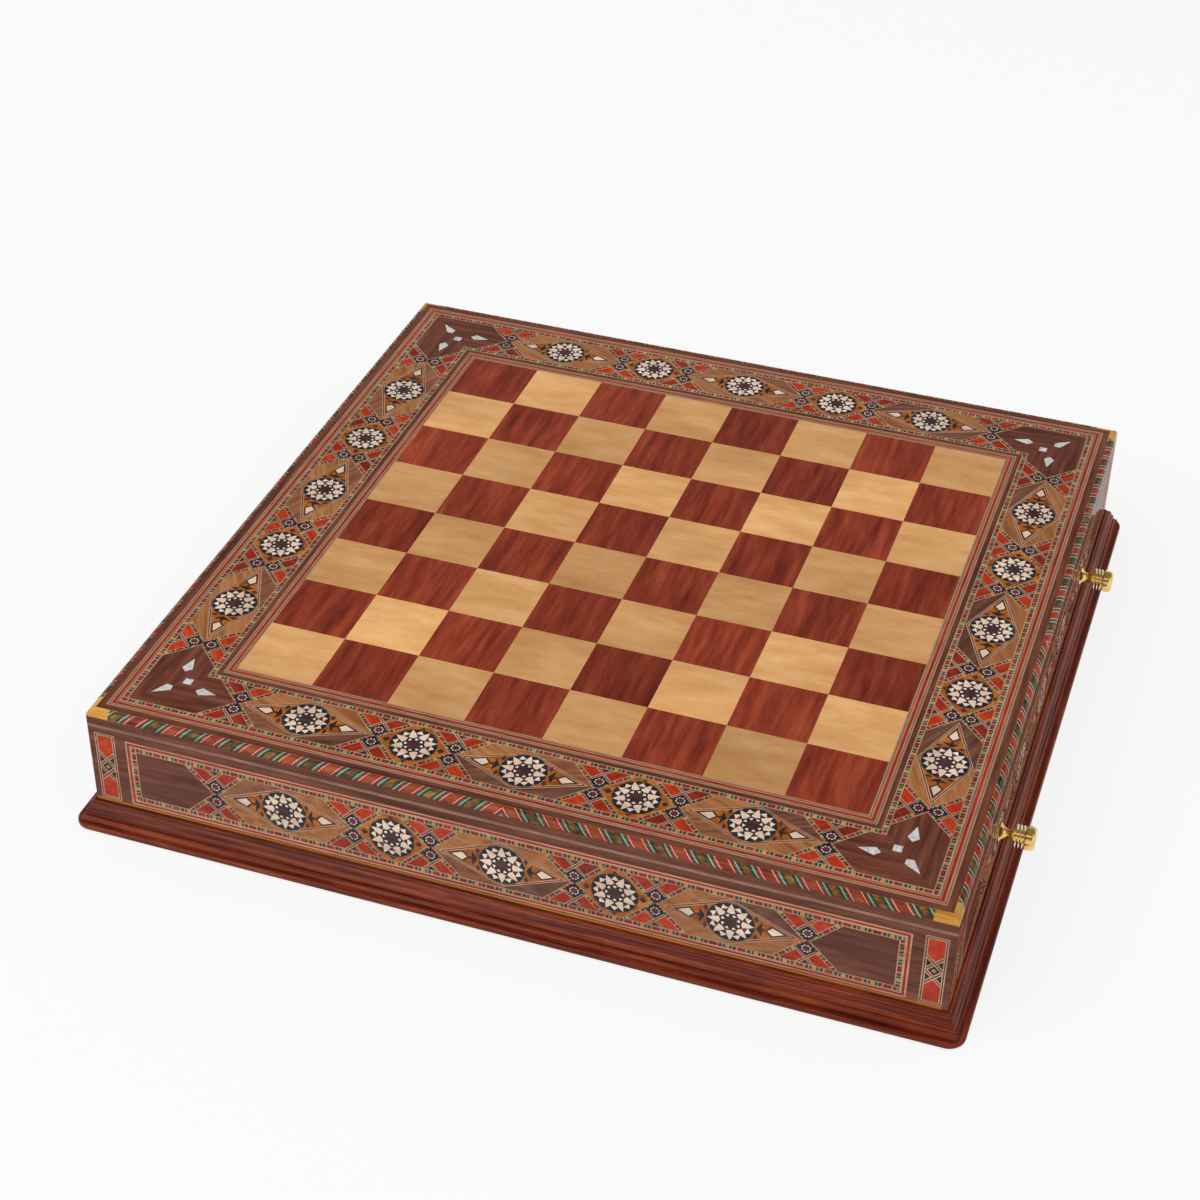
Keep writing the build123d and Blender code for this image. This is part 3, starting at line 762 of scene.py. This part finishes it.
def unit_row():
    """A row of units as a line, for half of the front edging and a little more at each end."""
    count = int((EDGE_CORNER + 2 * SLANT) / UNIT)
    deselect()
    middle = ((count / 2 * UNIT - 2 * SLANT) * MM, 0.5, (EDGE_ROUND + 0.05) * MM)
    bpy.ops.mesh.primitive_grid_add(x_subdivisions=count, y_subdivisions=1, size=1, location=middle)
    piece = bpy.context.object
    piece.scale = (count * UNIT * MM, 1, 1)
    bpy.ops.object.mode_set(mode="EDIT")
    bpy.ops.mesh.select_all(action="DESELECT")
    bpy.ops.object.mode_set(mode="OBJECT")
    for vertex in piece.data.vertices:
        vertex.select = vertex.co.y > 0
    bpy.ops.object.mode_set(mode="EDIT")
    bpy.ops.mesh.delete(type="VERT")
    bpy.ops.object.mode_set(mode="OBJECT")
    bpy.ops.object.transform_apply(location=True, rotation=True, scale=True)
    return piece


def swept(line):
    """The row swept over the rounded edge with the slant of the stripes, and its units in their woods."""
    woods = {"k": INK, "g": GREEN, "w": CREAM, "r": SCARLET, "o": ORANGE_BLOCK, "b": BURL_BLOCK}
    order = list(woods)
    turn = line.modifiers.new("turn", "SCREW")
    turn.axis = "X"
    turn.angle = math.radians(90)
    turn.screw_offset = SLANT * MM
    turn.steps = turn.render_steps = 6
    only(line)
    bpy.ops.object.modifier_apply(modifier="turn")
    for finish in woods.values():
        line.data.materials.append(finish)
    for face in line.data.polygons:
        x, y, z = face.center
        start = x / MM - SLANT * math.atan2(-y, z) / math.radians(90)
        letter = STRIPES[int(start / UNIT + 1000 * len(STRIPES)) % len(STRIPES)]
        face.material_index = order.index(letter)
    skin = line.modifiers.new("skin", "SOLIDIFY")
    skin.thickness = 0.1 * MM
    skin.offset = 0
    only(line)
    bpy.ops.object.modifier_apply(modifier="skin")
    return trimmed(line, [((0, 0), (-1, 0)), ((EDGE_CORNER, 0), (1, 0))])


def mirrored(piece):
    """The left-hand twin of a right-hand piece."""
    twin = copied(piece)
    twin.matrix_basis = Matrix.Scale(-1, 4, (1, 0, 0))
    only(twin)
    bpy.ops.object.transform_apply(location=True, rotation=True, scale=True)
    bpy.ops.object.mode_set(mode="EDIT")
    bpy.ops.mesh.select_all(action="SELECT")
    bpy.ops.mesh.normals_make_consistent(inside=False)
    bpy.ops.object.mode_set(mode="OBJECT")
    return twin


right_half = swept(unit_row())
edging = joined("edging", [right_half, mirrored(right_half)])
for quarter, side in enumerate(SIDES):
    y, z = EDGE_AXIS
    place = Matrix.Rotation(math.radians(90 * quarter), 4, "Z") @ Matrix.Translation((0, y * MM, z * MM))
    stripes = copied(edging)
    stripes.name = stripes.data.name = side + "_edge_stripes"
    laid([stripes], place, "case")

for pattern in list(PATTERNS.values()) + [edging]:
    for piece in pattern if isinstance(pattern, list) else [pattern]:
        bpy.data.objects.remove(piece)


# Floor, light and camera

def seen_rays(tree):
    """One for what is seen, straight on or in the lacquer, and nothing for what only gives light."""
    rays = tree.nodes.new("ShaderNodeLightPath")
    seen = maths(tree, "MAXIMUM", rays.outputs["Is Camera Ray"], rays.outputs["Is Glossy Ray"])
    return maths(tree, "MAXIMUM", seen, rays.outputs["Is Transmission Ray"])


deselect()
bpy.ops.mesh.primitive_plane_add(size=24)
floor = bpy.context.object
floor.name = "floor"
material, tree, shader, place = blank("pale_floor", 0.9, Specular_IOR_Level=0.1)
shader.inputs["Base Color"].default_value = (0.9, 0.9, 0.9, 1)
glow = put(tree, "Emission", None, {0: (1, 1, 1, 1), 1: 1.0})
share = maths(tree, "MULTIPLY", seen_rays(tree), 0.82)
blend = put(tree, "MixShader", None, {0: share, 1: shader.outputs[0], 2: glow.outputs[0]})
tree.links.new(blend.outputs[0], tree.nodes["Material Output"].inputs[0])
floor.data.materials.append(material)
floor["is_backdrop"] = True

world = bpy.data.worlds.new("studio")
bpy.context.scene.world = world
world.use_nodes = True
tree = world.node_tree
background = tree.nodes["Background"]
height = put(tree, "SeparateXYZ", None, {0: tree.nodes.new("ShaderNodeTexCoord").outputs["Generated"]}).outputs[2]
above = put(tree, "MapRange", None, {0: height, 1: 0.2, 2: 0.55, 3: 1.0, 4: 0.25}).outputs[0]
level = put(tree, "Mix", {"data_type": "FLOAT"}, {0: seen_rays(tree), 2: 0.6, 3: above}).outputs[0]
tree.links.new(level, background.inputs["Strength"])
background.inputs["Color"].default_value = (1, 1, 1, 1)

LAMPS = (("key", (-1.3, -1.5, 1.9), 31.0, 2.4), ("fill", (1.9, -0.9, 1.5), 9.0, 2.0))
for name, place, power, size in LAMPS:
    lamp = bpy.data.lights.new(name, "AREA")
    lamp.energy = power
    lamp.size = size
    holder = bpy.data.objects.new(name, lamp)
    holder.location = place
    holder.rotation_euler = (-Vector(place)).to_track_quat("-Z", "Y").to_euler()
    bpy.context.collection.objects.link(holder)

camera = bpy.data.cameras.new("camera")
camera.lens = 72.016
camera.sensor_width = 36
eye = bpy.data.objects.new("camera", camera)
eye.location = (0.281349, -0.916105, 0.740668)
eye.rotation_euler = (0.938284, -0.014471, 0.33177)
bpy.context.collection.objects.link(eye)
bpy.context.scene.camera = eye
bpy.context.scene.view_settings.view_transform = "Standard"

low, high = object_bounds()
